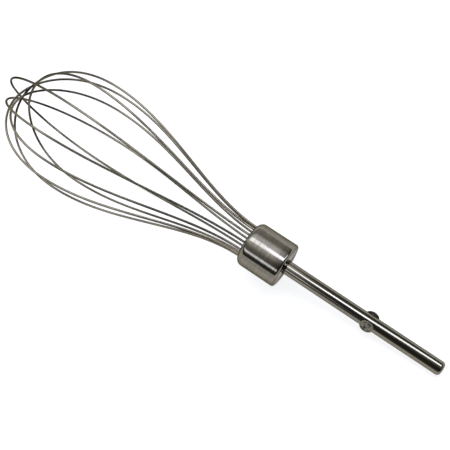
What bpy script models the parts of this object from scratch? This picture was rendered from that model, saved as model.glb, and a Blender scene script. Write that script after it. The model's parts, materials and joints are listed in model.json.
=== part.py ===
"""Wire whisk for a hand mixer.

Six bent wires form a balloon. Their ends sit in a plug inside a drawn steel collar, and a drive
shaft with a cross pin leaves the other end of the collar. Every piece is modelled upright round
the Z axis: the collar's mouth is at height zero, the wires rise above it and the shaft hangs
below it. One empty then lays the whole whisk on its side, as it rests on a table.
"""

import math
from collections import namedtuple

import bmesh
import bpy
from mathutils import Matrix, Vector

MM = 0.001
UP = Vector((0.0, 0.0, 1.0))

# Clearance between pieces that seat on each other
CLEAR = 0.3 * MM

# Points closer together than this are one point
WELD = 0.001 * MM

# Edges that turn by more than this are shaded as real edges
SHARP_ANGLE = math.radians(35)

# Wire balloon
WIRE_DIA = 1.2 * MM
LEG_CIRCLE_RADIUS = 8.2 * MM
LEG_TURN = math.radians(5)
BALLOON_REACH = 150.2 * MM
BALLOON_RADIUS = 31.0 * MM
WAIST_HEIGHT = 102.0 * MM

# Stiffness of the bends: the length of each curve handle as a share of its own span
MOUTH_STIFFNESS = 0.31
WAIST_STIFFNESS_BELOW = 0.37
WAIST_STIFFNESS_ABOVE = 0.69
TIP_STIFFNESS = 0.44

# Collar, a drawn shell
COLLAR_LENGTH = 22.2 * MM
COLLAR_WALL = 0.8 * MM
SHOULDER_DEPTH = 2.6 * MM
SHOULDER_RADIUS = 3.4 * MM
HEEL_RADIUS = 1.4 * MM

# Washer behind the wire ends
WASHER_THICKNESS = 1.6 * MM

# Drive shaft, with a thinner spigot through the plug and a riveted head on the end of it
SHAFT_DIA = 7.0 * MM
SHAFT_REACH = 85.5 * MM
SHAFT_END_RADIUS = 1.9 * MM
SPIGOT_DIA = 5.0 * MM
RIVET_DIA = 8.0 * MM
RIVET_HEIGHT = 1.2 * MM

# Cross pin with a stepped head at each end
PIN_DEPTH = 46.6 * MM
PIN_TURN = math.radians(-49)
PIN_DIA = 4.0 * MM
HEAD_DIA = 7.0 * MM
HEAD_CROWN = 0.25 * MM
HEAD_EDGE_RADIUS = 0.1 * MM
RING_DIA = 4.6 * MM
RING_RISE = 0.2 * MM
RING_BEVEL = 0.2 * MM
GROOVE_WIDTH = 0.5 * MM
GROOVE_DEPTH = 0.15 * MM
DIMPLE_DIA = 2.8 * MM
DIMPLE_DEPTH = 0.9 * MM

# Smoothness of the round forms, and how often the lie on the table is worked out anew
TURN_STEPS = 48
HOLE_STEPS = 16
PIN_STEPS = 24
ARC_STEPS = 5
RIM_STEPS = 3
BEND_STEPS = 16
LIE_PASSES = 12

# One wire, named for its place. Gap is the clear space at the tip between the wire and the one
# over it. Lean and sway shift its tip along and across its own plane, and twist turns its tip
# round the whisk's axis: the wires are bent and crossed by hand, so no two lie quite alike.
Wire = namedtuple("Wire", "name gap lean sway twist")

# The six wires in order round the collar
WIRES = (
    Wire("wire_loop_1", 0.00 * MM, 1.3 * MM, -0.4 * MM, math.radians(-3.5)),
    Wire("wire_loop_2", 0.35 * MM, -2.2 * MM, 1.0 * MM, math.radians(1.7)),
    Wire("wire_loop_3", 0.30 * MM, -3.4 * MM, 0.3 * MM, math.radians(5.5)),
    Wire("wire_loop_4", 0.40 * MM, -2.6 * MM, -0.4 * MM, math.radians(7.8)),
    Wire("wire_loop_5", 0.70 * MM, -1.7 * MM, -0.9 * MM, math.radians(0.6)),
    Wire("wire_loop_6", 2.15 * MM, -0.5 * MM, 4.3 * MM, math.radians(-4.6)),
)

# The same wires from the outermost at the tip to the innermost
TIP_ORDER = ("wire_loop_1", "wire_loop_6", "wire_loop_4", "wire_loop_3", "wire_loop_5", "wire_loop_2")

# Sizes that follow from the ones above
WIRE_RADIUS = WIRE_DIA / 2
SHAFT_RADIUS = SHAFT_DIA / 2
LEG_PITCH = math.pi / len(WIRES)
LIP_RADIUS = LEG_CIRCLE_RADIUS + WIRE_RADIUS + CLEAR
COLLAR_RADIUS = LIP_RADIUS + SHOULDER_DEPTH
COLLAR_BACK = -COLLAR_LENGTH
SHOULDER_CENTRE = (COLLAR_RADIUS - SHOULDER_RADIUS, -SHOULDER_RADIUS)
HEEL_CENTRE = (COLLAR_RADIUS - HEEL_RADIUS, COLLAR_BACK + HEEL_RADIUS)
WASHER_BOTTOM = COLLAR_BACK + COLLAR_WALL + CLEAR
WASHER_TOP = WASHER_BOTTOM + WASHER_THICKNESS
HOLDER_BOTTOM = WASHER_TOP + CLEAR
HOLDER_TOP = -COLLAR_WALL - CLEAR
HOLDER_RECESS = HOLDER_TOP - RIVET_HEIGHT - CLEAR
SHAFT_END = COLLAR_BACK - SHAFT_REACH
PIN_HEIGHT = COLLAR_BACK - PIN_DEPTH
HEAD_SEAT = SHAFT_RADIUS + CLEAR
HEAD_TOP = HEAD_SEAT + HEAD_CROWN
RING_TOP = HEAD_TOP + RING_RISE
OVERCUT = 2 * MM


def clear_scene():
    """Remove whatever the scene holds."""
    for thing in list(bpy.data.objects):
        bpy.data.objects.remove(thing, do_unlink=True)


def metal(name, colour, roughness):
    """A plain metal finish."""
    finish = bpy.data.materials.new(name)
    finish.use_nodes = True
    shader = finish.node_tree.nodes["Principled BSDF"]
    shader.inputs["Base Color"].default_value = (*colour, 1.0)
    shader.inputs["Metallic"].default_value = 1.0
    shader.inputs["Roughness"].default_value = roughness
    return finish


def plastic(name, colour, roughness):
    """A plain moulded plastic."""
    finish = metal(name, colour, roughness)
    finish.node_tree.nodes["Principled BSDF"].inputs["Metallic"].default_value = 0.0
    return finish


def add_object(name, data, finish=None):
    """Link a mesh or a curve to the scene as one named object."""
    thing = bpy.data.objects.new(name, data)
    bpy.context.scene.collection.objects.link(thing)
    if finish:
        data.materials.append(finish)
    return thing


def arc(centre, radius, start, end, steps=ARC_STEPS):
    """Points on an arc in the plane of radius and height, between two angles in degrees."""
    points = []
    for step in range(steps + 1):
        angle = math.radians(start + (end - start) * step / steps)
        points.append((centre[0] + radius * math.cos(angle), centre[1] + radius * math.sin(angle)))
    return points


def spin_profile(bm, profile, steps, closed):
    """Turn a profile of radius and height once round the Z axis."""
    corners = [bm.verts.new((radius, 0.0, height)) for radius, height in profile]
    ends = corners[1:] + corners[:1] if closed else corners[1:]
    edges = [bm.edges.new(pair) for pair in zip(corners, ends)]
    bmesh.ops.spin(
        bm,
        geom=corners + edges,
        axis=UP,
        cent=(0.0, 0.0, 0.0),
        angle=math.tau,
        steps=steps,
        use_merge=True,
    )
    bmesh.ops.remove_doubles(bm, verts=bm.verts, dist=WELD)


def finish_mesh(bm, name):
    """Turn the faces outward, shade the round ones smooth and hand back the mesh."""
    bmesh.ops.recalc_face_normals(bm, faces=bm.faces)
    mesh = bpy.data.meshes.new(name)
    bm.to_mesh(mesh)
    bm.free()
    mesh.shade_smooth()
    mesh.set_sharp_from_angle(angle=SHARP_ANGLE)
    return mesh


def turned(name, profile, finish=None, steps=TURN_STEPS, closed=False):
    """One turned piece. A closed profile is a ring, an open one runs from the axis to the axis."""
    bm = bmesh.new()
    spin_profile(bm, profile, steps, closed)
    return add_object(name, finish_mesh(bm, name), finish)


def rod_mesh(name, radius, bottom, top, steps, places=((0.0, 0.0),)):
    """Upright round rods, one at each place."""
    bm = bmesh.new()
    for x, y in places:
        bmesh.ops.create_cone(
            bm,
            cap_ends=True,
            segments=steps,
            radius1=radius,
            radius2=radius,
            depth=top - bottom,
            matrix=Matrix.Translation((x, y, (top + bottom) / 2)),
        )
    return finish_mesh(bm, name)


def helper(name, mesh):
    """An object that only shapes others, kept out of the finished whisk."""
    tool = add_object(name, mesh)
    tool.hide_render = True
    tool.display_type = "WIRE"
    return tool


def cut(piece, tool):
    """Cut a helper out of a piece."""
    change = piece.modifiers.new(f"cut {tool.name}", "BOOLEAN")
    change.operation = "DIFFERENCE"
    change.object = tool
    change.solver = "EXACT"


def lip_angle(radius):
    """Where an arc of the shoulder reaches the mouth, in degrees above the widest point."""
    share = (LIP_RADIUS - SHOULDER_CENTRE[0]) / radius
    return math.degrees(math.acos(max(0.0, min(1.0, share))))


def collar_profile():
    """Section of the shell: from the mouth over the shoulder to the hole in its back wall."""
    inner_shoulder = SHOULDER_RADIUS - COLLAR_WALL
    hole = SHAFT_RADIUS + CLEAR
    outside = arc(SHOULDER_CENTRE, SHOULDER_RADIUS, lip_angle(SHOULDER_RADIUS), 0.0)
    outside += arc(HEEL_CENTRE, HEEL_RADIUS, 0.0, -90.0)
    outside.append((hole, COLLAR_BACK))
    inside = [(hole, COLLAR_BACK + COLLAR_WALL)]
    inside += arc(HEEL_CENTRE, HEEL_RADIUS - COLLAR_WALL, -90.0, 0.0)
    inside += arc(SHOULDER_CENTRE, inner_shoulder, 0.0, lip_angle(inner_shoulder))
    return outside + inside


def cavity_radius(height):
    """Radius of a piece that fills the collar at one height, a clearance off its wall."""
    for centre, radius, side in ((SHOULDER_CENTRE, SHOULDER_RADIUS, 1), (HEEL_CENTRE, HEEL_RADIUS, -1)):
        past = side * (height - centre[1])
        inner = radius - COLLAR_WALL - CLEAR
        if past > 0:
            return centre[0] + math.sqrt(max(0.0, inner**2 - past**2))
    return COLLAR_RADIUS - COLLAR_WALL - CLEAR


def cavity_outline(bottom, top):
    """Outer side of a piece that fills the collar between two heights, from the bottom up."""
    heel = arc(HEEL_CENTRE, HEEL_RADIUS - COLLAR_WALL - CLEAR, -90.0, 0.0)
    shoulder = arc(SHOULDER_CENTRE, SHOULDER_RADIUS - COLLAR_WALL - CLEAR, 0.0, 90.0)
    middle = [point for point in heel + shoulder if bottom + WELD < point[1] < top - WELD]
    return [(cavity_radius(bottom), bottom), *middle, (cavity_radius(top), top)]


def direction(turn):
    """Level direction at a turn round the whisk's axis."""
    return Vector((math.cos(turn), math.sin(turn), 0.0))


def leg_turns():
    """Turn of each leg's hole round the plug, in order."""
    return [(index + 0.5) * LEG_PITCH + LEG_TURN for index in range(2 * len(WIRES))]


def make_collar(finish):
    """Drawn shell round the wire ends."""
    return turned("collar", collar_profile(), finish, closed=True)


def make_holder(finish):
    """Plug inside the collar, with a hole for each leg and a bore for the spigot."""
    bore = SPIGOT_DIA / 2 + CLEAR
    recess = RIVET_DIA / 2 + CLEAR
    profile = cavity_outline(HOLDER_BOTTOM, HOLDER_TOP)
    profile += [(recess, HOLDER_TOP), (recess, HOLDER_RECESS), (bore, HOLDER_RECESS), (bore, HOLDER_BOTTOM)]
    holder = turned("wire_holder", profile, finish, closed=True)
    places = [(LEG_CIRCLE_RADIUS * direction(turn)).xy for turn in leg_turns()]
    holes = rod_mesh(
        "leg_holes",
        WIRE_RADIUS + CLEAR,
        HOLDER_BOTTOM - OVERCUT,
        HOLDER_TOP + OVERCUT,
        HOLE_STEPS,
        places,
    )
    cut(holder, helper("leg_holes", holes))
    return holder


def make_washer(finish):
    """Disc that closes the holes behind the wire ends."""
    bore = SPIGOT_DIA / 2 + CLEAR
    profile = cavity_outline(WASHER_BOTTOM, WASHER_TOP)
    profile += [(bore, WASHER_TOP), (bore, WASHER_BOTTOM)]
    return turned("retaining_washer", profile, finish, closed=True)


def wire_reach(name):
    """Height of a wire's tip: each one crosses under the wires before it."""
    reach = BALLOON_REACH
    gaps = {wire.name: wire.gap for wire in WIRES}
    for other in TIP_ORDER[1:TIP_ORDER.index(name) + 1]:
        reach -= WIRE_DIA + gaps[other]
    return reach


def bent_leg(wire, index, side):
    """Curve points of one leg with their handles, from its end in the plug up to its waist."""
    turn = (index + 0.5) * LEG_PITCH
    reach = wire_reach(wire.name)
    share = WAIST_HEIGHT / reach
    outward = side * direction(turn + LEG_TURN)
    shift = wire.lean * direction(turn) + wire.sway * direction(turn + math.pi / 2)
    end = outward * LEG_CIRCLE_RADIUS + UP * HOLDER_BOTTOM
    mouth = outward * LEG_CIRCLE_RADIUS
    waist = UP * WAIST_HEIGHT + side * BALLOON_RADIUS * direction(turn + wire.twist * share)
    waist += shift * share**2
    rise = UP + shift * 2 * share / reach
    below = waist - rise * WAIST_STIFFNESS_BELOW * WAIST_HEIGHT
    above = waist + rise * WAIST_STIFFNESS_ABOVE * (reach - WAIST_HEIGHT)
    return [
        (end, end - UP * CLEAR, end + UP * CLEAR),
        (mouth, mouth - UP * CLEAR, mouth + UP * MOUTH_STIFFNESS * WAIST_HEIGHT),
        (waist, below, above),
    ]


def wire_route(wire, index):
    """Every curve point of one wire, from one end over the tip to the other end."""
    turn = (index + 0.5) * LEG_PITCH
    shift = wire.lean * direction(turn) + wire.sway * direction(turn + math.pi / 2)
    tip = UP * wire_reach(wire.name) + shift
    spread = direction(turn + wire.twist) * TIP_STIFFNESS * BALLOON_RADIUS
    rising = bent_leg(wire, index, 1)
    falling = [(place, after, before) for place, before, after in reversed(bent_leg(wire, index, -1))]
    return [*rising, (tip, tip + spread, tip - spread), *falling]


def make_wire(wire, index, finish):
    """One wire as a round bevelled curve with closed ends."""
    curve = bpy.data.curves.new(wire.name, "CURVE")
    curve.dimensions = "3D"
    curve.bevel_depth = WIRE_RADIUS
    curve.bevel_resolution = 2
    curve.use_fill_caps = True
    curve.resolution_u = BEND_STEPS
    curve.render_resolution_u = BEND_STEPS
    route = wire_route(wire, index)
    spline = curve.splines.new("BEZIER")
    spline.bezier_points.add(len(route) - 1)
    for point, (place, before, after) in zip(spline.bezier_points, route):
        point.co = place
        point.handle_left_type = "FREE"
        point.handle_right_type = "FREE"
        point.handle_left = before
        point.handle_right = after
    first, last = spline.bezier_points[:2], spline.bezier_points[-2:]
    for start, end in (first, last):
        start.handle_right_type = "VECTOR"
        end.handle_left_type = "VECTOR"
    return add_object(wire.name, curve, finish)


def make_shaft(finish):
    """Rod with a rounded end, a spigot through the plug and a riveted head on the spigot."""
    spigot = SPIGOT_DIA / 2
    rivet = RIVET_DIA / 2
    shoulder = WASHER_BOTTOM - CLEAR
    head_bottom = HOLDER_RECESS + CLEAR
    round_over = min(RIVET_HEIGHT / 2, rivet - spigot)
    end_round = min(SHAFT_END_RADIUS, SHAFT_RADIUS / 2)
    profile = [(0.0, HOLDER_TOP)]
    profile += arc((rivet - round_over, HOLDER_TOP - round_over), round_over, 90.0, 0.0)
    profile += [(rivet, head_bottom), (spigot, head_bottom), (spigot, shoulder), (SHAFT_RADIUS, shoulder)]
    profile += arc((SHAFT_RADIUS - end_round, SHAFT_END + end_round), end_round, 0.0, -90.0)
    profile.append((0.0, SHAFT_END))
    shaft = turned("drive_shaft", profile, finish)
    hole = rod_mesh("pin_hole", PIN_DIA / 2 + CLEAR, -HEAD_TOP - OVERCUT, HEAD_TOP + OVERCUT, PIN_STEPS)
    tool = helper("pin_hole", hole)
    place_across(tool)
    cut(shaft, tool)
    return shaft


def place_across(thing):
    """Lay a piece made along Z across the shaft, where the pin goes."""
    thing.location = UP * PIN_HEIGHT
    thing.rotation_euler = (0.0, math.pi / 2, PIN_TURN)


def head_profile():
    """Section of one pin head: a dished middle, a raised ring, a groove, a rim and a flat underside."""
    rim = HEAD_DIA / 2
    ring = RING_DIA / 2
    dimple = DIMPLE_DIA / 2
    profile = [
        (0.0, HEAD_TOP - DIMPLE_DEPTH),
        (dimple / 2, HEAD_TOP - DIMPLE_DEPTH),
        (dimple, HEAD_TOP - DIMPLE_DEPTH / 2),
        (dimple + RING_BEVEL, RING_TOP),
        (ring - RING_BEVEL, RING_TOP),
        (ring, HEAD_TOP - GROOVE_DEPTH),
        (ring + GROOVE_WIDTH / 2, HEAD_TOP - GROOVE_DEPTH),
        (ring + GROOVE_WIDTH, HEAD_TOP),
    ]
    edge = (rim - HEAD_EDGE_RADIUS, HEAD_TOP - HEAD_EDGE_RADIUS)
    profile += arc(edge, HEAD_EDGE_RADIUS, 90.0, 0.0, RIM_STEPS)
    profile += [(rim, HEAD_SEAT), (PIN_DIA / 2, HEAD_SEAT)]
    return profile


def make_pin(finish):
    """Pin through the shaft, with a thin flat head on each side."""
    head = head_profile()
    other = [(radius, -height) for radius, height in reversed(head)]
    pin = turned("cross_pin", head + other, finish, PIN_STEPS)
    place_across(pin)
    return pin


def lay_angle(points):
    """Tilt that lets both the balloon and the shaft touch the table."""
    tilt = 0.0
    for _ in range(LIE_PASSES):
        level = Matrix.Rotation(tilt - math.pi / 2, 3, "Y")
        lowest = []
        for side in (1, -1):
            part = [level @ point for point in points if side * point.z > 0]
            lowest.append(min(part, key=lambda point: point.z))
        over, under = lowest
        tilt -= math.atan2(over.z - under.z, under.x - over.x)
    return tilt


def surface_points(pieces):
    """Every corner of the finished pieces, in the whisk's own frame."""
    graph = bpy.context.evaluated_depsgraph_get()
    points = []
    for piece in pieces:
        shape = piece.evaluated_get(graph)
        mesh = shape.to_mesh()
        points += [shape.matrix_world @ corner.co for corner in mesh.vertices]
        shape.to_mesh_clear()
    return points


def lay_down(pieces, helpers):
    """Parent everything to one empty and lay it on its side, its box centred on the origin."""
    points = surface_points(pieces)
    turn = Matrix.Rotation(lay_angle(points) - math.pi / 2, 4, "Y")
    laid = [turn @ point for point in points]
    middle_x = (min(point.x for point in laid) + max(point.x for point in laid)) / 2
    middle_y = (min(point.y for point in laid) + max(point.y for point in laid)) / 2
    floor = min(point.z for point in laid)
    bench = add_object("whisk_lies_down", None)
    bench.matrix_world = Matrix.Translation((-middle_x, -middle_y, -floor)) @ turn
    for thing in pieces + helpers:
        thing.parent = bench


def main():
    clear_scene()
    brushed = metal("brushed_steel", (0.50, 0.49, 0.45), 0.32)
    polished = metal("polished_steel", (0.52, 0.51, 0.47), 0.12)
    drawn = metal("drawn_wire", (0.46, 0.45, 0.41), 0.2)
    zinc = metal("plated_steel", (0.45, 0.45, 0.44), 0.4)
    nylon = plastic("grey_nylon", (0.10, 0.10, 0.10), 0.5)
    pieces = [
        make_collar(brushed),
        make_holder(nylon),
        make_washer(zinc),
        make_shaft(polished),
        make_pin(polished),
    ]
    pieces += [make_wire(wire, index, drawn) for index, wire in enumerate(WIRES)]
    bpy.context.view_layer.update()
    helpers = [thing for thing in bpy.data.objects if thing.hide_render]
    lay_down(pieces, helpers)


main()
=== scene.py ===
"""Looks of a hand mixer whisk: bright drawn wires, a brushed collar and a polished drive shaft.

Every shape is made in the whisk's own frame, with its collar's mouth at the origin and its wires
up the Z axis, and is then laid down where the packed model lies.
"""

import json
import math
from collections import namedtuple

import bmesh
import bpy
from bpy.props import FloatProperty, FloatVectorProperty, IntProperty, PointerProperty
from mathutils import Matrix, Vector


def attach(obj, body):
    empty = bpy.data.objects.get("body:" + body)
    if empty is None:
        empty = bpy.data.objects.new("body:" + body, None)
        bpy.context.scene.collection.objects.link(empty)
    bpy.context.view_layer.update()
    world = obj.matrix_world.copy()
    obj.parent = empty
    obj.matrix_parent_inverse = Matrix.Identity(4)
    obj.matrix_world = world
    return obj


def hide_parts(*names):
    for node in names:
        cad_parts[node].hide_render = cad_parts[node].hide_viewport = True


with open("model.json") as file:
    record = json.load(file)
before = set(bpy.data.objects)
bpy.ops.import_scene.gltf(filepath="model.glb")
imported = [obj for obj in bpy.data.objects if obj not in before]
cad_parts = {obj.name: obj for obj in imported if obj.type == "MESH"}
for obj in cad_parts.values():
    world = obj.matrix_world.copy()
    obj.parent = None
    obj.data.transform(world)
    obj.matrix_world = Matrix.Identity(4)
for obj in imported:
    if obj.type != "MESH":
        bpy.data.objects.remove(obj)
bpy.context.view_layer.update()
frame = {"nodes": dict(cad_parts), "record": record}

bl_info = {
    "name": "Mixer Whisk Looks",
    "version": (1, 0, 0),
    "blender": (4, 5, 0),
    "location": "3D View > Sidebar > Whisk",
    "description": "Wires, collar, drive shaft and cross pin of a hand mixer whisk, and its studio",
    "category": "Object",
}

MM = 0.001
UP = Vector((0.0, 0.0, 1.0))
ROOT = "root"

# Clearance that the solids keep where they seat on each other
CLEAR = 0.3 * MM

# Room between the shaft and the heads of the pin, which are riveted down on it
SEAT_GAP = 0.05 * MM

# Edges that turn by more than this are real edges
SHARP_ANGLE = math.radians(35)

# Points of a turned piece that lie nearer to each other than this are one
MERGE_DISTANCE = 0.001 * MM

# Depths of the relief of a fine finish and of a coarse one
FINE_RELIEF = 0.01 * MM
COARSE_RELIEF = 0.02 * MM

# The table top's radius and faces, and how far it lies under the whisk, so that no faces meet
FLOOR_RADIUS = 4.0
FLOOR_STEPS = 96
FLOOR_DROP = 0.1 * MM

# Width of the camera's sensor in millimetres, for which the focal length is given
SENSOR_WIDTH = 36.0

# One wire. Gap is the clear space at the tip between the wire and the one over it. Lean and sway
# shift its tip along and across its own plane, and twist turns its tip round the whisk's axis.
Wire = namedtuple("Wire", "name gap lean sway twist")

# The six wires in order round the collar
WIRES = (
    Wire("wire_loop_1", 0.00 * MM, 1.3 * MM, -0.4 * MM, math.radians(-3.5)),
    Wire("wire_loop_2", 0.35 * MM, -2.2 * MM, 1.0 * MM, math.radians(1.7)),
    Wire("wire_loop_3", 0.30 * MM, -3.4 * MM, 0.3 * MM, math.radians(5.5)),
    Wire("wire_loop_4", 0.40 * MM, -2.6 * MM, -0.4 * MM, math.radians(7.8)),
    Wire("wire_loop_5", 0.70 * MM, -1.7 * MM, -0.9 * MM, math.radians(0.6)),
    Wire("wire_loop_6", 2.15 * MM, -0.5 * MM, 4.3 * MM, math.radians(-4.6)),
)

# The same wires from the outermost at the tip to the innermost
TIP_ORDER = ("wire_loop_1", "wire_loop_6", "wire_loop_4", "wire_loop_3", "wire_loop_5", "wire_loop_2")

# Turn from each wire's plane to the next one's
LEG_PITCH = math.pi / len(WIRES)


def length(name, description, millimetres):
    """A size that is kept in metres."""
    return FloatProperty(
        name=name, description=description, default=millimetres * MM, unit="LENGTH", precision=4
    )


def angle(name, description, degrees):
    """An angle that is shown in degrees."""
    return FloatProperty(
        name=name, description=description, default=math.radians(degrees), subtype="ANGLE"
    )


def share(name, description, default):
    """A number between none and all."""
    return FloatProperty(name=name, description=description, default=default, min=0.0, max=1.0)


def count(name, description, default):
    """A whole number, one or more."""
    return IntProperty(name=name, description=description, default=default, min=1)


def colour(name, description, default):
    """A linear colour."""
    return FloatVectorProperty(
        name=name, description=description, default=default, size=3, subtype="COLOR", min=0.0, max=1.0
    )


class WireSizes(bpy.types.PropertyGroup):
    """Sizes and finish of the six bent wires."""

    diameter: length("Diameter", "Thickness of the wire", 1.2)
    leg_circle: length("Leg circle", "Radius of the circle on which the legs stand", 8.2)
    leg_turn: angle("Leg turn", "Turn of the legs' holes against the loops", 5.0)
    reach: length("Reach", "Height of the outermost wire's tip over the mouth", 150.2)
    radius: length("Radius", "Half the balloon's width at its waist", 31.0)
    waist: length("Waist", "Height of the balloon's widest point over the mouth", 102.0)
    mouth_stiffness: share("Mouth stiffness", "Handle of the bend at the mouth", 0.31)
    below_stiffness: share("Lower waist stiffness", "Handle of the bend below the waist", 0.37)
    above_stiffness: share("Upper waist stiffness", "Handle of the bend above the waist", 0.69)
    tip_stiffness: share("Tip stiffness", "Handle of the bend at the tip", 0.44)
    steps: count("Steps", "Pieces in each stretch of the wire", 64)
    roundness: count("Roundness", "Bevel resolution of the wire's round section", 6)
    colour: colour("Colour", "Drawn steel of the wires", (0.176, 0.155, 0.111))


class CollarSizes(bpy.types.PropertyGroup):
    """Sizes and finish of the collar."""

    length: length("Length", "From the mouth to the flat back", 22.2)
    wall: length("Wall", "Thickness of the drawn shell", 0.8)
    shoulder_depth: length("Shoulder depth", "How far the shoulder turns in", 2.6)
    shoulder_radius: length("Shoulder radius", "Round of the shoulder at the mouth", 3.4)
    heel_radius: length("Heel radius", "Round of the edge at the back", 1.4)
    rim_round: length("Rim round", "Rounding of the cut edges", 0.16)
    washer: length("Washer", "Thickness of the washer behind the wires", 1.6)
    steps: count("Steps", "Faces round the collar", 160)
    colour: colour("Colour", "Brushed steel of the collar", (0.205, 0.188, 0.152))


class ShaftSizes(bpy.types.PropertyGroup):
    """Sizes and finish of the drive shaft."""

    diameter: length("Diameter", "Thickness of the shaft", 7.0)
    reach: length("Reach", "From the collar's back to the end", 85.5)
    end_radius: length("End radius", "Rounding of the end", 1.75)
    spigot: length("Spigot", "Thickness of the stretch inside the collar", 5.0)
    rivet: length("Rivet head", "Width of the riveted head in the collar's mouth", 8.0)
    rivet_height: length("Rivet height", "Height of the riveted head", 1.2)
    steps: count("Steps", "Faces round the shaft", 128)
    colour: colour("Colour", "Polished steel of the shaft", (0.208, 0.190, 0.150))


class PinSizes(bpy.types.PropertyGroup):
    """Sizes of the pin through the shaft."""

    depth: length("Depth", "From the collar's back to the pin's middle", 46.6)
    turn: angle("Turn", "Turn of the pin round the shaft", -49.0)
    diameter: length("Diameter", "Thickness of the pin in its hole", 4.0)
    head: length("Head", "Width of the heads", 7.0)
    crown: length("Crown", "Thickness of the heads over the shaft", 0.25)
    edge_radius: length("Edge radius", "Rounding of the heads' rim", 0.1)
    ring: length("Ring", "Width of the raised ring on each head", 4.4)
    ring_rise: length("Ring rise", "Height of the ring over the head", 0.35)
    groove: length("Groove", "Width of the slope down into the groove round the ring", 0.6)
    groove_depth: length("Groove depth", "Depth of the groove round the ring", 0.25)
    lip: length("Lip", "Width of the flat lip round the groove", 0.45)
    dimple: length("Dimple", "Width of the dished middle", 2.8)
    dimple_depth: length("Dimple depth", "Depth of the dished middle", 0.35)
    steps: count("Steps", "Faces round the pin", 96)
    bore_steps: count("Bore steps", "Faces round the pin's bore in the shaft", 64)


class Studio(bpy.types.PropertyGroup):
    """The camera, as it stood to the whisk, and the light."""

    lens: FloatProperty(name="Lens", description="Focal length for a 36 mm sensor", default=60.9)
    lean: angle("Lean", "How far the wires lean away from the camera", 12.44)
    slope: angle("Slope", "Slope of the whisk in the picture", 33.41)
    turn: angle("Turn", "Turn of the camera round the whisk's axis", -2.31)
    right: length("Right", "The collar's mouth right of the picture's middle", 11.215)
    below: length("Below", "The collar's mouth below the picture's middle", 8.126)
    distance: length("Distance", "From the camera to the collar's mouth, along the view", 369.91)
    floor_colour: colour("Floor", "Pale table", (0.42, 0.42, 0.42))
    floor_glow: FloatProperty(name="Floor glow", description="Own light of the table", default=0.78)


class Graph:
    """Adds nodes to one node tree."""

    def __init__(self, tree):
        self.tree = tree

    def node(self, kind, settings=None, **values):
        """A node with its settings, and its sockets' values or links by name or by number.

        A socket's name has _ for each space, and its number stands after a _.
        """
        made = self.tree.nodes.new(kind)
        for name, setting in (settings or {}).items():
            if name == "stops":
                fill_ramp(made.color_ramp, setting)
            else:
                setattr(made, name, setting)
        for name, value in values.items():
            key = int(name[1:]) if name[1:].isdigit() else name.replace("_", " ")
            self.feed(made.inputs[key], value)
        return made

    def feed(self, socket, value):
        """Link a socket to a value of this tree, or set it."""
        if isinstance(value, Value):
            self.tree.links.new(value.socket, socket)
        else:
            socket.default_value = value

    def outputs(self, kind, settings=None, **values):
        """All outputs of a new node."""
        return [Value(self, socket) for socket in self.node(kind, settings, **values).outputs]

    def value(self, kind, output=0, settings=None, **values):
        """One output of a new node."""
        return Value(self, self.node(kind, settings, **values).outputs[output])


class Value:
    """A socket that adds its Math nodes by plain arithmetic."""

    def __init__(self, graph, socket):
        self.graph = graph
        self.socket = socket

    def maths(self, operation, other):
        """One Math node on this value and another."""
        return self.graph.value("ShaderNodeMath", 0, {"operation": operation}, _0=self, _1=other)

    def __add__(self, other):
        return self.maths("ADD", other)

    __radd__ = __add__

    def __mul__(self, other):
        return self.maths("MULTIPLY", other)

    __rmul__ = __mul__

    def highest(self, other):
        """The higher of two values."""
        return self.maths("MAXIMUM", other)

    def turn_from(self, ahead):
        """Angle of a direction that goes this far sideways and that far ahead."""
        return self.maths("ARCTAN2", ahead)

    def rise(self, start, end):
        """Smooth step from none at start to one at end."""
        settings = {"interpolation_type": "SMOOTHSTEP"}
        return self.graph.value("ShaderNodeMapRange", 0, settings, _0=self, _1=start, _2=end)


# How cool light of level one is: its blue gains twice this share, and its red loses half of it
COOLER = 0.028


def fill_ramp(ramp, stops):
    """Give a new colour ramp its stops of place and level, the brighter the cooler."""
    while len(ramp.elements) < len(stops):
        ramp.elements.new(1.0)
    for element, (place, level) in zip(ramp.elements, stops):
        element.position = place
        cool = COOLER * level * level
        element.color = (level * (1 - cool / 2), level, level * (1 + cool * 2), 1.0)


def mixed(graph, blend, factor, first, second):
    """Two colours in one, from the colour sockets of a Mix node."""
    settings = {"data_type": "RGBA", "blend_type": blend}
    return graph.value("ShaderNodeMix", 2, settings, _0=factor, _6=first, _7=second)


def scaled(graph, tint, factor):
    """A colour made lighter or darker by a value."""
    grey = graph.value("ShaderNodeCombineColor", 0, None, _0=factor, _1=factor, _2=factor)
    return mixed(graph, "MULTIPLY", 1.0, (*tint, 1.0), grey)


def new_finish(name):
    """A material with its graph and its Principled shader."""
    finish = bpy.data.materials.new(name)
    finish.use_nodes = True
    return finish, Graph(finish.node_tree), finish.node_tree.nodes["Principled BSDF"]


def whisk_coordinates(graph):
    """Object coordinates turned back to the whisk's own frame, in millimetres."""
    place = whisk_frame()
    return graph.value(
        "ShaderNodeMapping",
        0,
        {"vector_type": "TEXTURE"},
        Vector=graph.value("ShaderNodeTexCoord", "Object"),
        Location=place.translation,
        Rotation=place.to_euler(),
        Scale=(MM, MM, MM),
    )


def stretched_noise(graph, coordinates, scale, detail=2.0, rough=0.5):
    """Noise with its own scale along each axis."""
    place = graph.value("ShaderNodeMapping", 0, None, Vector=coordinates, Scale=scale)
    values = {"Vector": place, "Scale": 1.0, "Detail": detail, "Roughness": rough}
    return graph.value("ShaderNodeTexNoise", 0, None, **values)


def bump(graph, shader, height, strength, distance):
    """Relief from a height."""
    values = {"Strength": strength, "Distance": distance, "Height": height}
    graph.feed(shader.inputs["Normal"], graph.value("ShaderNodeBump", 0, None, **values))


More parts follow.
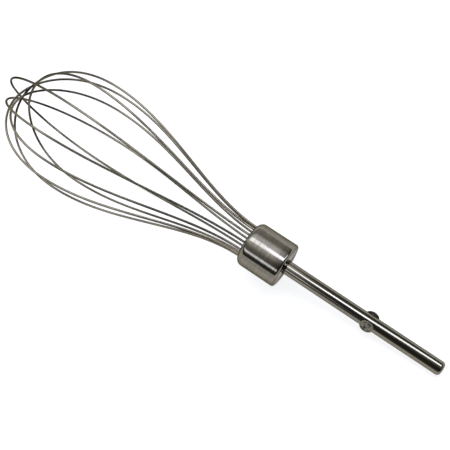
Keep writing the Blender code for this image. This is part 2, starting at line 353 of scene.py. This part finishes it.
def vary_finish(graph, shader, tint, tone, roughness):
    """Vary a finish over its surface: its tint by a tone, of which one is the plain tint."""
    graph.feed(shader.inputs["Base Color"], scaled(graph, tint, tone))
    graph.feed(shader.inputs["Roughness"], roughness)


# How much of the tint is left where the metal is seen along its face
EDGE_TINT = (0.33, 0.32, 0.285, 1.0)

# Colours of the two pieces inside the collar
PLATED_TINT = (0.35, 0.35, 0.34, 1.0)
NYLON_TINT = (0.10, 0.10, 0.10)

# Name of the UV map along and round each wire
ROUTE = "route"


def steel(name):
    """A metal finish, ready for its colour and its pattern."""
    finish, graph, shader = new_finish(name)
    shader.inputs["Metallic"].default_value = 1.0
    shader.inputs["Specular Tint"].default_value = EDGE_TINT
    return finish, graph, shader


def brushed_steel(tint):
    """Steel brushed round the axis: fine lines that vary along it, with a few longer ones."""
    finish, graph, shader = steel("brushed_collar")
    place = whisk_coordinates(graph)
    fine = stretched_noise(graph, place, (0.30, 0.30, 2.2), detail=3.0, rough=0.7)
    broad = stretched_noise(graph, place, (0.12, 0.12, 0.7))
    lines = fine * 0.65 + broad * 0.35
    vary_finish(graph, shader, tint, tone=0.2 + lines * 1.6, roughness=0.075 + lines * 0.06)
    bump(graph, shader, lines, strength=0.05, distance=FINE_RELIEF)
    return finish


def polished_steel(tint):
    """Polished rod with faint lengthwise polishing lines and fine turning marks."""
    finish, graph, shader = steel("polished_rod")
    place = whisk_coordinates(graph)
    lines = stretched_noise(graph, place, (2.4, 2.4, 0.06), detail=3.0, rough=0.6)
    clouds = stretched_noise(graph, place, (0.25, 0.25, 0.12))
    marks = stretched_noise(graph, place, (0.5, 0.5, 2.6), detail=3.0, rough=0.7)
    tone = 0.6 + lines * 0.1 + clouds * 0.1 + marks * 0.6
    vary_finish(graph, shader, tint, tone, roughness=0.06 + lines * 0.06 + clouds * 0.04)
    bump(graph, shader, lines, strength=0.12, distance=FINE_RELIEF)
    return finish


def dull_steel(tint):
    """Pressed pin with a dull, unevenly worn face."""
    finish, graph, shader = steel("dull_pin")
    place = whisk_coordinates(graph)
    clouds = stretched_noise(graph, place, (0.8, 0.8, 0.8), detail=3.0, rough=0.6)
    scratches = stretched_noise(graph, place, (3.0, 3.0, 0.8))
    tone = 0.55 + clouds * 0.6 + scratches * 0.3
    vary_finish(graph, shader, tint, tone, roughness=0.12 + clouds * 0.12)
    graph.feed(shader.inputs["Metallic"], 0.6 + clouds * 0.2)
    bump(graph, shader, scratches, strength=0.15, distance=FINE_RELIEF)
    return finish


def drawn_wire(tint):
    """Bright wire with lines along its length from the drawing die, and painted shade in long patches.
    """
    finish, graph, shader = steel("bright_wire")
    route = graph.value("ShaderNodeUVMap", 0, {"uv_map": ROUTE})
    lines = stretched_noise(graph, route, (8.0, 12.0, 1.0), detail=3.0, rough=0.6)
    # Painted shade: long patches and broad clouds darken the wire's colour, standing in for dark
    # reflections and the shadows where wires cross
    clouds = stretched_noise(graph, whisk_coordinates(graph), (0.1, 0.1, 0.1))
    painted_shade_patches = stretched_noise(graph, route, (5.0, 1.6, 1.0)).rise(0.4, 0.6)
    tone = 0.05 + painted_shade_patches + lines * 0.4 + clouds * 0.4
    vary_finish(graph, shader, tint, tone, roughness=0.04 + lines * 0.06 + clouds * 0.04)
    return finish


def plated_steel():
    """Plain plated washer."""
    finish, graph, shader = steel("plated_disc")
    specks = stretched_noise(graph, whisk_coordinates(graph), (2.0, 2.0, 2.0), detail=3.0, rough=0.6)
    shader.inputs["Base Color"].default_value = PLATED_TINT
    graph.feed(shader.inputs["Roughness"], 0.3 + specks * 0.16)
    bump(graph, shader, specks, strength=0.15, distance=COARSE_RELIEF)
    return finish


def grey_nylon():
    """Moulded plug with a fine grain."""
    finish, graph, shader = new_finish("moulded_plug")
    grain = stretched_noise(graph, whisk_coordinates(graph), (6.0, 6.0, 6.0), detail=3.0, rough=0.6)
    vary_finish(graph, shader, NYLON_TINT, tone=0.85 + grain * 0.3, roughness=0.42 + grain * 0.16)
    bump(graph, shader, grain, strength=0.2, distance=COARSE_RELIEF)
    return finish


def finish_of(name, make, *values):
    """A material that is made once and shared."""
    return bpy.data.materials.get(name) or make(*values)


def turned_to(across, along, up):
    """Matrix that turns the X, Y and Z axes to these three directions."""
    return Matrix((across, along, up)).transposed().to_4x4()


def whisk_frame():
    """Matrix from the whisk's own frame to where it lies, from the shaft's end in the record."""
    scene = bpy.context.scene
    mount = next(item for item in frame["record"]["mounts"] if item["name"] == "drive_end")
    tip_way = -Vector(mount["axis"]).normalized()
    across = Vector((0.0, 1.0, 0.0))
    upper_side = across.cross(tip_way)
    mouth = Vector(mount["pos_m"]) + tip_way * (scene.whisk_collar.length + scene.whisk_shaft.reach)
    return Matrix.Translation(mouth) @ turned_to(upper_side, across, tip_way)


def direction(turn):
    """Level direction at a turn round the whisk's axis."""
    return Vector((math.cos(turn), math.sin(turn), 0.0))


def arc(centre, radius, start, end, steps=12):
    """Points on an arc in the plane of radius and height, between two angles in degrees."""
    turns = [math.radians(start + (end - start) * step / steps) for step in range(steps + 1)]
    return [(centre[0] + radius * math.cos(turn), centre[1] + radius * math.sin(turn)) for turn in turns]


def turned_bmesh(profile, steps, closed=False):
    """A profile of radius and height turned once round the Z axis."""
    bm = bmesh.new()
    corners = [bm.verts.new((radius, 0.0, height)) for radius, height in profile]
    ends = corners[1:] + corners[:1] if closed else corners[1:]
    edges = [bm.edges.new(pair) for pair in zip(corners, ends)]
    bmesh.ops.spin(
        bm,
        geom=corners + edges,
        axis=UP,
        cent=(0.0, 0.0, 0.0),
        angle=math.tau,
        steps=steps,
        use_merge=True,
    )
    bmesh.ops.remove_doubles(bm, verts=bm.verts, dist=MERGE_DISTANCE)
    bmesh.ops.recalc_face_normals(bm, faces=bm.faces)
    return bm


def soften(bm, width, segments=3):
    """Round the real edges of a turned piece."""
    edges = [edge for edge in bm.edges if edge.is_manifold and edge.calc_face_angle() > SHARP_ANGLE]
    bmesh.ops.bevel(
        bm,
        geom=edges,
        offset=width,
        offset_type="OFFSET",
        segments=segments,
        profile=0.5,
        affect="EDGES",
        material=-1,
        clamp_overlap=True,
    )


def in_scene(name, data):
    """A new object in the scene."""
    made = bpy.data.objects.new(name, data)
    bpy.context.scene.collection.objects.link(made)
    return made


def as_piece(name, bm, finish):
    """A bmesh as a named object, still in the whisk's own frame."""
    mesh = bpy.data.meshes.new(name)
    bm.to_mesh(mesh)
    bm.free()
    mesh.materials.append(finish)
    return in_scene(name, mesh)


def final_mesh(thing):
    """The mesh that an object's curve or modifiers give."""
    bpy.context.view_layer.update()
    graph = bpy.context.evaluated_depsgraph_get()
    return bpy.data.meshes.new_from_object(thing.evaluated_get(graph))


def cut(piece, tool):
    """Cut a helper out of a piece for good, and remove the helper."""
    change = piece.modifiers.new("cut", "BOOLEAN")
    change.operation = "DIFFERENCE"
    change.object = tool
    change.solver = "EXACT"
    mesh = final_mesh(piece)
    piece.modifiers.clear()
    piece.data = mesh
    bpy.data.objects.remove(tool)


def settle(piece, slot, *nodes):
    """Lay a finished piece where the packed solids lie, and let it stand for them."""
    piece.data.transform(whisk_frame())
    piece.data.shade_smooth()
    piece.data.set_sharp_from_angle(angle=SHARP_ANGLE)
    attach(piece, ROOT)
    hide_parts(*nodes)


def rod(name, radius, bottom, top, steps, finish):
    """Upright round rod, used as a cutter."""
    bm = bmesh.new()
    bmesh.ops.create_cone(
        bm,
        cap_ends=True,
        segments=steps,
        radius1=radius,
        radius2=radius,
        depth=top - bottom,
        matrix=Matrix.Translation(UP * (top + bottom) / 2),
    )
    return as_piece(name, bm, finish)


def inner_heights(scene):
    """Heights of the washer's underside, of the plug's underside and of the plug's top."""
    collar = scene.whisk_collar
    washer_bottom = -collar.length + collar.wall + CLEAR
    holder_bottom = washer_bottom + collar.washer + CLEAR
    holder_top = -collar.wall - CLEAR
    return washer_bottom, holder_bottom, holder_top


def wire_reach(name, sizes):
    """Height of a wire's tip: each one crosses under the wires before it."""
    gaps = {wire.name: wire.gap for wire in WIRES}
    under = TIP_ORDER[1:TIP_ORDER.index(name) + 1]
    return sizes.reach - sum(sizes.diameter + gaps[other] for other in under)


def tip_shift(wire, turn):
    """How far a wire's tip stands off the whisk's axis."""
    return wire.lean * direction(turn) + wire.sway * direction(turn + math.pi / 2)


def bent_leg(wire, turn, side, foot, sizes):
    """Points of one leg with their handles, from its foot up to its waist."""
    reach = wire_reach(wire.name, sizes)
    share_up = sizes.waist / reach
    outward = side * direction(turn + sizes.leg_turn)
    shift = tip_shift(wire, turn)
    end = outward * sizes.leg_circle + UP * foot
    mouth = outward * sizes.leg_circle
    waist = UP * sizes.waist + side * sizes.radius * direction(turn + wire.twist * share_up)
    waist += shift * share_up**2
    rise = UP + shift * 2 * share_up / reach
    below = waist - rise * sizes.below_stiffness * sizes.waist
    above = waist + rise * sizes.above_stiffness * (reach - sizes.waist)
    return [
        (end, end - UP * CLEAR, end + UP * CLEAR),
        (mouth, mouth - UP * CLEAR, mouth + UP * sizes.mouth_stiffness * sizes.waist),
        (waist, below, above),
    ]


def wire_route(wire, index, foot, sizes):
    """Every point of one wire, from one foot over the tip to the other."""
    turn = (index + 0.5) * LEG_PITCH
    tip = UP * wire_reach(wire.name, sizes) + tip_shift(wire, turn)
    spread = direction(turn + wire.twist) * sizes.tip_stiffness * sizes.radius
    rising = bent_leg(wire, turn, 1, foot, sizes)
    other = bent_leg(wire, turn, -1, foot, sizes)
    falling = [(place, after, before) for place, before, after in reversed(other)]
    return [*rising, (tip, tip + spread, tip - spread), *falling]


def wire_curve(name, route, sizes):
    """A route as a round curve with closed ends, straight from each foot to the mouth."""
    curve = bpy.data.curves.new(name, "CURVE")
    curve.dimensions = "3D"
    curve.bevel_depth = sizes.diameter / 2
    curve.bevel_resolution = sizes.roundness
    curve.use_fill_caps = True
    curve.resolution_u = sizes.steps
    curve.render_resolution_u = sizes.steps
    spline = curve.splines.new("BEZIER")
    spline.bezier_points.add(len(route) - 1)
    for point, (place, before, after) in zip(spline.bezier_points, route):
        point.co = place
        point.handle_left_type = "FREE"
        point.handle_right_type = "FREE"
        point.handle_left = before
        point.handle_right = after
    for start, end in (spline.bezier_points[:2], spline.bezier_points[-2:]):
        start.handle_right_type = "VECTOR"
        end.handle_left_type = "VECTOR"
    return curve


class WHISK_OT_wires(bpy.types.Operator):
    """Make the six bent wires"""

    bl_idname = "whisk.wires"
    bl_label = "Bent Wires"

    def execute(self, context):
        sizes = context.scene.whisk_wires
        foot = inner_heights(context.scene)[1]
        finish = finish_of("bright_wire", drawn_wire, sizes.colour)
        for index, wire in enumerate(WIRES):
            name = wire.name.replace("wire_loop", "bent_wire")
            curve = wire_curve(name, wire_route(wire, index, foot, sizes), sizes)
            guide = in_scene(name, curve)
            mesh = final_mesh(guide)
            bpy.data.objects.remove(guide)
            bpy.data.curves.remove(curve)
            mesh.name = name
            mesh.uv_layers[0].name = ROUTE
            mesh.materials.append(finish)
            settle(in_scene(name, mesh), "drawn_wire", wire.name)
        return {"FINISHED"}


def lip_angle(lip, centre, radius):
    """Where an arc of the shoulder reaches the mouth, in degrees above the widest point."""
    return math.degrees(math.acos(max(0.0, min(1.0, (lip - centre[0]) / radius))))


class WHISK_OT_collar(bpy.types.Operator):
    """Make the drawn and brushed collar"""

    bl_idname = "whisk.collar"
    bl_label = "Collar"

    def execute(self, context):
        scene = context.scene
        sizes = scene.whisk_collar
        wires = scene.whisk_wires
        lip = wires.leg_circle + wires.diameter / 2 + CLEAR
        outer = lip + sizes.shoulder_depth
        hole = scene.whisk_shaft.diameter / 2 + CLEAR
        back = -sizes.length
        shoulder = (outer - sizes.shoulder_radius, -sizes.shoulder_radius)
        heel = (outer - sizes.heel_radius, back + sizes.heel_radius)
        inner_radius = sizes.shoulder_radius - sizes.wall
        outer_lip = lip_angle(lip, shoulder, sizes.shoulder_radius)
        inner_lip = lip_angle(lip, shoulder, inner_radius)
        profile = arc(shoulder, sizes.shoulder_radius, outer_lip, 0.0, steps=20)
        profile += arc(heel, sizes.heel_radius, 0.0, -90.0, steps=16)
        profile += [(hole, back), (hole, back + sizes.wall)]
        profile += arc(heel, sizes.heel_radius - sizes.wall, -90.0, 0.0)
        profile += arc(shoulder, inner_radius, 0.0, inner_lip)
        bm = turned_bmesh(profile, sizes.steps, closed=True)
        soften(bm, sizes.rim_round)
        piece = as_piece("collar_shell", bm, finish_of("brushed_collar", brushed_steel, sizes.colour))
        settle(piece, "brushed_steel", "collar")
        return {"FINISHED"}


class WHISK_OT_shaft(bpy.types.Operator):
    """Make the drive shaft with its rounded end"""

    bl_idname = "whisk.shaft"
    bl_label = "Drive Shaft"

    def execute(self, context):
        scene = context.scene
        sizes = scene.whisk_shaft
        pin = scene.whisk_pin
        washer_bottom, _, top = inner_heights(scene)
        radius = sizes.diameter / 2
        spigot = sizes.spigot / 2
        rivet = sizes.rivet / 2
        shoulder = washer_bottom - CLEAR
        head_bottom = top - sizes.rivet_height
        end = -scene.whisk_collar.length - sizes.reach
        round_over = min(sizes.rivet_height / 2, rivet - spigot)
        profile = [(0.0, top)]
        profile += arc((rivet - round_over, top - round_over), round_over, 90.0, 0.0)
        profile += [(rivet, head_bottom), (spigot, head_bottom), (spigot, shoulder), (radius, shoulder)]
        centre = (radius - sizes.end_radius, end + sizes.end_radius)
        profile += arc(centre, sizes.end_radius, 0.0, -90.0, steps=20)
        profile.append((0.0, end))
        finish = finish_of("polished_rod", polished_steel, sizes.colour)
        piece = as_piece("polished_shaft", turned_bmesh(profile, sizes.steps), finish)
        half = radius + sizes.diameter
        tool = rod("pin_bore", pin.diameter / 2 + CLEAR, -half, half, pin.bore_steps, finish)
        tool.matrix_world = pin_frame(scene)
        cut(piece, tool)
        settle(piece, "polished_steel", "drive_shaft")
        return {"FINISHED"}


def pin_frame(scene):
    """Matrix that lays a shape made along Z across the shaft, where the pin goes."""
    pin = scene.whisk_pin
    place = Matrix.Translation(-UP * (scene.whisk_collar.length + pin.depth))
    return place @ Matrix.Rotation(pin.turn, 4, "Z") @ Matrix.Rotation(math.pi / 2, 4, "Y")


def pin_head(pin, seat):
    """Section of one head: a dish with a domed floor, a raised ring, a groove, a lip and a flat back."""
    top = seat + pin.crown
    rim = pin.head / 2
    ring = pin.ring / 2
    dimple = pin.dimple / 2
    floor = top - pin.dimple_depth
    dome = 2.0 * dimple
    profile = arc((0.0, floor - dome), dome + pin.edge_radius, 90.0, 72.0, steps=6)
    profile += crest(dimple, ring, top, top + pin.ring_rise)
    profile += [(ring + pin.groove, top - pin.groove_depth), (rim - pin.lip, top)]
    profile += arc((rim - pin.edge_radius, top - pin.edge_radius), pin.edge_radius, 90.0, 0.0, steps=6)
    profile += [(rim, seat), (pin.diameter / 2, seat)]
    return profile


def crest(inner, outer, foot, top, steps=12):
    """Round ridge of a section."""
    middle = (inner + outer) / 2
    half = (outer - inner) / 2
    turns = [math.pi * (1 - step / steps) for step in range(steps + 1)]
    return [(middle + half * math.cos(turn), foot + (top - foot) * math.sin(turn)) for turn in turns]


class WHISK_OT_pin(bpy.types.Operator):
    """Make the cross pin with its two thin heads"""

    bl_idname = "whisk.pin"
    bl_label = "Cross Pin"

    def execute(self, context):
        scene = context.scene
        head = pin_head(scene.whisk_pin, scene.whisk_shaft.diameter / 2 + SEAT_GAP)
        other = [(radius, -height) for radius, height in reversed(head)]
        finish = finish_of("dull_pin", dull_steel, scene.whisk_shaft.colour)
        piece = as_piece("riveted_pin", turned_bmesh(head + other, scene.whisk_pin.steps), finish)
        piece.data.transform(pin_frame(scene))
        settle(piece, "polished_steel", "cross_pin")
        return {"FINISHED"}


class WHISK_OT_inside(bpy.types.Operator):
    """Finish the plug and the washer inside the collar"""

    bl_idname = "whisk.inside"
    bl_label = "Inside the Collar"

    def execute(self, context):
        for name, slot, make in (
            ("wire_holder", "grey_nylon", grey_nylon),
            ("retaining_washer", "plated_steel", plated_steel),
        ):
            node = frame["nodes"][name]
            node.data.materials.clear()
            node.data.materials.append(make())
        return {"FINISHED"}


class WHISK_OT_stage(bpy.types.Operator):
    """Make the floor, the lamps, the surroundings and the camera"""

    bl_idname = "whisk.stage"
    bl_label = "Stage"

    def execute(self, context):
        studio = context.scene.whisk_studio
        make_floor(studio)
        make_world()
        make_lamps()
        make_camera(studio)
        context.scene.view_settings.view_transform = "Standard"
        return {"FINISHED"}


def make_floor(studio):
    """A wide pale table top that keeps the whisk's shadow and shows white."""
    finish, graph, shader = new_finish("pale_table")
    shader.inputs["Base Color"].default_value = (*studio.floor_colour, 1.0)
    shader.inputs["Roughness"].default_value = 0.9
    shader.inputs["Specular IOR Level"].default_value = 0.0
    rays = graph.node("ShaderNodeLightPath").outputs
    seen, mirrored, through = (
        Value(graph, rays[name]) for name in ("Is Camera Ray", "Is Glossy Ray", "Is Transmission Ray")
    )
    glow = seen.highest(mirrored).highest(through) * studio.floor_glow
    graph.feed(shader.inputs["Emission Color"], scaled(graph, (1.0, 1.0, 1.0), glow))
    shader.inputs["Emission Strength"].default_value = 1.0
    bm = bmesh.new()
    bmesh.ops.create_circle(
        bm,
        cap_ends=True,
        segments=FLOOR_STEPS,
        radius=FLOOR_RADIUS,
        matrix=Matrix.Translation(-UP * FLOOR_DROP),
    )
    floor = as_piece("table_top", bm, finish)


# What lies round the whisk, above the table, by its turn in degrees round the whisk's axis from
# the upper side: how bright it is towards the wires' tip, and towards the shaft's end.
Outlook = namedtuple("Outlook", "turn tipward shaftward")

OUTLOOKS = (
    Outlook(-71, 0.95, 0.95),
    Outlook(-69, 0.05, 0.10),
    Outlook(-58, 0.06, 0.05),
    Outlook(-50, 0.30, 0.05),
    Outlook(-42, 0.30, 0.09),
    Outlook(-34, 0.30, 0.05),
    Outlook(-22, 0.34, 0.04),
    Outlook(-12, 0.64, 0.06),
    Outlook(-2, 1.15, 0.10),
    Outlook(10, 1.55, 0.22),
    Outlook(36, 1.75, 0.22),
    Outlook(47, 1.50, 0.20),
    Outlook(58, 0.62, 0.12),
    Outlook(69, 0.48, 0.10),
    Outlook(81, 0.60, 0.13),
    Outlook(95, 0.62, 0.18),
)

# Slope towards the tip at which the surroundings go over from one to the other
OVER_SHAFT = 0.086
OVER_TIP = 0.098


def make_world():
    """A room round the whisk, with one set of levels towards the tip and one towards the shaft."""
    world = bpy.data.worlds.new("studio")
    bpy.context.scene.world = world
    world.use_nodes = True
    graph = Graph(world.node_tree)
    way = graph.value(
        "ShaderNodeMapping",
        0,
        {"vector_type": "TEXTURE"},
        Vector=graph.value("ShaderNodeTexCoord", "Generated"),
        Rotation=whisk_frame().to_euler(),
    )
    upward, sideways, tip_slope = graph.outputs("ShaderNodeSeparateXYZ", None, Vector=way)
    place = sideways.turn_from(upward) * (1.0 / math.tau) + 0.5
    tipward, shaftward = (
        graph.value(
            "ShaderNodeValToRGB",
            0,
            {"stops": [(outlook.turn / 360 + 0.5, getattr(outlook, side)) for outlook in OUTLOOKS]},
            Fac=place,
        )
        for side in ("tipward", "shaftward")
    )
    tip_share = tip_slope.rise(OVER_SHAFT, OVER_TIP)
    background = world.node_tree.nodes["Background"]
    graph.feed(background.inputs["Color"], mixed(graph, "MIX", tip_share, shaftward, tipward))
    background.inputs["Strength"].default_value = 1.0


# One lamp, in degrees and millimetres. Turn is its place round the whisk's axis from the upper
# side, start and end are how far along the axis it reaches from the collar's mouth, distance is
# how far it stands off the axis, and skew turns it in its own plane. Level is how bright it is.
Lamp = namedtuple("Lamp", "name turn start end distance width skew level")

LAMPS = (
    Lamp("tipward_strip", 18.9, 25.0, 620.0, 500.0, 165.0, 0.0, 1.9),
    Lamp("middle_strip", 18.9, -78.0, 45.0, 500.0, 124.0, 38.0, 4.2),
    Lamp("shaftward_strip", 35.3, -283.0, 19.0, 500.0, 108.0, 57.0, 4.2),
    Lamp("narrow_strip", -43.0, 2.0, 520.0, 500.0, 94.0, 0.0, 1.75),
    Lamp("faint_strip", -42.4, -42.0, 2.0, 500.0, 75.0, 0.0, 0.5),
)

# Colour of the lamps' light
LAMP_TINT = (0.74, 0.81, 1.0)

# Power of a lamp of one square metre and level one, which is as bright as a full white
LAMP_POWER = 4.0


def make_lamps():
    """Strips of light on both sides of the camera."""
    place = whisk_frame()
    for lamp in LAMPS:
        data = bpy.data.lights.new(lamp.name, "AREA")
        data.shape = "RECTANGLE"
        data.size = lamp.width * MM
        data.size_y = (lamp.end - lamp.start) * MM
        data.color = LAMP_TINT
        data.energy = lamp.level * LAMP_POWER * data.size * data.size_y / LAMP_TINT[1]
        outward = direction(math.radians(lamp.turn))
        centre = outward * lamp.distance * MM + UP * (lamp.start + lamp.end) / 2 * MM
        turn = turned_to(UP.cross(outward), UP, outward)
        skew = Matrix.Rotation(math.radians(lamp.skew), 4, "Z")
        in_scene(lamp.name, data).matrix_world = place @ Matrix.Translation(centre) @ turn @ skew


def make_camera(studio):
    """The camera that sees the whisk as the photograph does."""
    data = bpy.data.cameras.new("camera")
    data.sensor_width = SENSOR_WIDTH
    data.lens = studio.lens
    camera = in_scene("camera", data)
    lean, slope = studio.lean, studio.slope
    along = Vector((-math.cos(slope), math.sin(slope), 0.0))
    tip_way = along * math.cos(lean) - UP * math.sin(lean)
    facing = along * math.sin(lean) + UP * math.cos(lean)
    across = tip_way.cross(facing)
    mouth = Vector((studio.right, -studio.below, -studio.distance))
    seen = Matrix.Translation(mouth) @ turned_to(facing, across, tip_way)
    place = whisk_frame() @ Matrix.Rotation(studio.turn, 4, "Z")
    camera.matrix_world = place @ seen.inverted()
    bpy.context.scene.camera = camera


class WHISK_PT_panel(bpy.types.Panel):
    """The whisk's sizes and its steps"""

    bl_idname = "WHISK_PT_panel"
    bl_label = "Mixer Whisk"
    bl_space_type = "VIEW_3D"
    bl_region_type = "UI"
    bl_category = "Whisk"

    def draw(self, context):
        for operator in OPERATORS:
            self.layout.operator(operator.bl_idname)
        for label, group in GROUPS.items():
            box = self.layout.box()
            box.label(text=group.__doc__)
            values = getattr(context.scene, label)
            for name in group.__annotations__:
                box.prop(values, name)


GROUPS = {
    "whisk_wires": WireSizes,
    "whisk_collar": CollarSizes,
    "whisk_shaft": ShaftSizes,
    "whisk_pin": PinSizes,
    "whisk_studio": Studio,
}

OPERATORS = (
    WHISK_OT_wires,
    WHISK_OT_collar,
    WHISK_OT_shaft,
    WHISK_OT_pin,
    WHISK_OT_inside,
    WHISK_OT_stage,
)


def register():
    for item in (*GROUPS.values(), *OPERATORS, WHISK_PT_panel):
        bpy.utils.register_class(item)
    for label, group in GROUPS.items():
        setattr(bpy.types.Scene, label, PointerProperty(type=group))


def unregister():
    for label in GROUPS:
        delattr(bpy.types.Scene, label)
    for item in (WHISK_PT_panel, *reversed(OPERATORS), *reversed(GROUPS.values())):
        bpy.utils.unregister_class(item)


def main():
    """Make every piece and the stage."""
    register()
    bpy.ops.whisk.wires()
    bpy.ops.whisk.collar()
    bpy.ops.whisk.shaft()
    bpy.ops.whisk.pin()
    bpy.ops.whisk.inside()
    bpy.ops.whisk.stage()
    bpy.context.view_layer.update()


if __name__ == "__main__":
    main()
